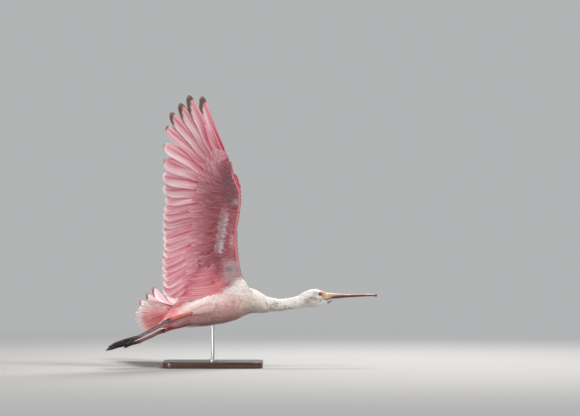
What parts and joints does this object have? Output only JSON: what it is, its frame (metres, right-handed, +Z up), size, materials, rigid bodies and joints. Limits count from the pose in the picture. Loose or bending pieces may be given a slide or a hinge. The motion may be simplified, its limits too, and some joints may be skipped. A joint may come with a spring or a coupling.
{
  "type": "life-size wading bird display model",
  "caption": "Still life-size model of a young pink spoon-billed wading bird banking in flight, one wing raised and one spread, on a rod above a flat wooden base.",
  "frame": {"origin": "middle of the base's underside", "axes": "+Z up from the base; +X the way the bird flies; the raised wing's side is -Y"},
  "size_m": [0.8113, 0.7135, 0.815],
  "materials": {
    "plumage_white": "soft off-white feathers",
    "plumage_blush": "soft pale pink feathers",
    "plumage_pink": "rose pink flight feathers with pale inner webs and brown tips",
    "horn": "satin pinkish tan horn with a dark edge",
    "eye": "glossy dark red brown",
    "leg_skin": "scaly reddish skin",
    "foot_skin": "scaly blackish skin",
    "base_wood": "dark satin varnish",
    "rod_steel": "brushed"
  },
  "bodies": {
    "root": {"torso": "plumage_blush", "neck": "plumage_white", "head": "plumage_white", "bill_upper": "horn", "bill_lower": "horn", "eye_right": "eye", "eye_left": "eye", "wing_right_arm": "plumage_pink", "wing_right_hand": "plumage_pink", "wing_left_arm": "plumage_pink", "wing_left_hand": "plumage_pink", "tail": "plumage_blush", "leg_right_thigh": "plumage_blush", "leg_left_thigh": "plumage_blush", "leg_right_shin": "leg_skin", "leg_left_shin": "leg_skin", "leg_right_foot": "foot_skin", "leg_left_foot": "foot_skin", "stand_base": "base_wood", "stand_rod": "rod_steel"}
  },
  "joints": []
}
